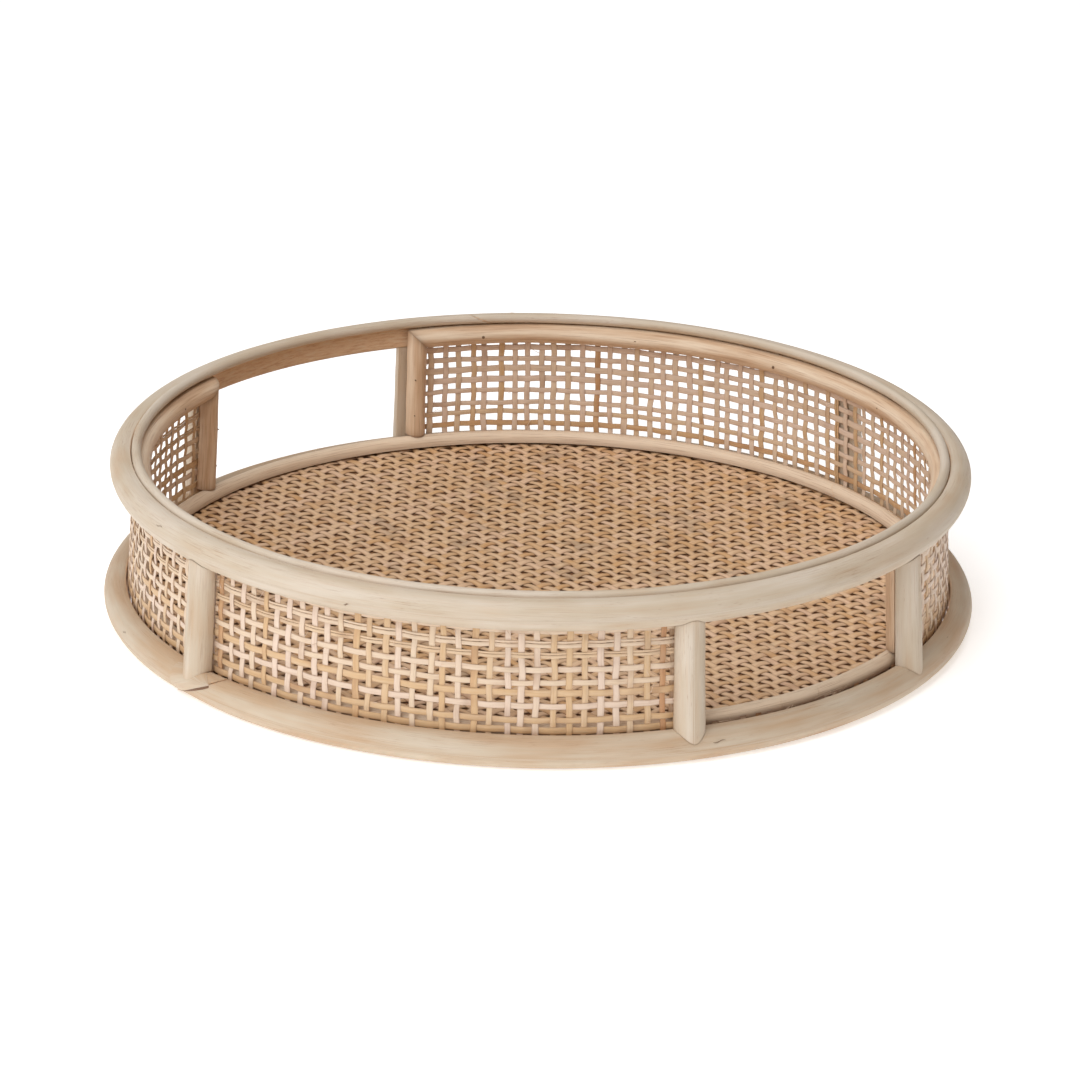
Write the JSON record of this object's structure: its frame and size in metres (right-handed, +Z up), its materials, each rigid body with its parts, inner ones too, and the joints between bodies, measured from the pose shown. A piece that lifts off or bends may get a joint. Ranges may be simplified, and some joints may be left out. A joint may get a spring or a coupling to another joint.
{
  "type": "serving tray",
  "caption": "Round serving tray with two bent pole rings, leaning posts, woven cane walls with two handle gaps, and a woven floor on a flat board.",
  "frame": {"origin": "centre of the tray at the level that it stands on", "axes": "+Z up; +X and -X through the middles of the two handle gaps; +Y through the middle of one woven wall"},
  "size_m": [0.4062, 0.4062, 0.0789],
  "materials": {
    "pole": "peeled and sanded rattan pole, matt",
    "strip": "half-round rattan strip, satin",
    "wall_cane": "flat cane, open plain weave, satin",
    "floor_cane": "flat cane, close plain weave, satin",
    "board": "plain board, matt",
    "brad": "dark steel"
  },
  "bodies": {
    "root": {"base_board": "board", "bottom_ring": "pole", "brad_back_left_1": "brad", "brad_back_left_2": "brad", "brad_back_right_1": "brad", "brad_back_right_2": "brad", "brad_facing_left_1": "brad", "brad_facing_left_2": "brad", "brad_facing_left_3": "brad", "brad_facing_left_4": "brad", "brad_facing_left_5": "brad", "brad_facing_left_6": "brad", "brad_facing_right_1": "brad", "brad_facing_right_2": "brad", "brad_facing_right_3": "brad", "brad_facing_right_4": "brad", "brad_facing_right_5": "brad", "brad_facing_right_6": "brad", "brad_front_left_1": "brad", "brad_front_left_2": "brad", "brad_front_right_1": "brad", "brad_front_right_2": "brad", "facing_left": "strip", "facing_right": "strip", "floor_beading": "strip", "floor_mat": "floor_cane", "nail_bottom_back_left": "brad", "nail_bottom_back_right": "brad", "nail_bottom_front_left": "brad", "nail_bottom_front_right": "brad", "nail_bottom_side_left": "brad", "nail_bottom_side_right": "brad", "nail_top_back_left": "brad", "nail_top_back_right": "brad", "nail_top_front_left": "brad", "nail_top_front_right": "brad", "nail_top_side_left": "brad", "nail_top_side_right": "brad", "post_back_left": "pole", "post_back_right": "pole", "post_front_left": "pole", "post_front_right": "pole", "post_side_left": "pole", "post_side_right": "pole", "rim_cap": "pole", "top_rim": "pole", "upright_left_back": "strip", "upright_left_front": "strip", "upright_right_back": "strip", "upright_right_front": "strip", "wall_left": "wall_cane", "wall_right": "wall_cane", "wall_sill_back": "wall_cane", "wall_sill_front": "wall_cane"}
  },
  "joints": []
}
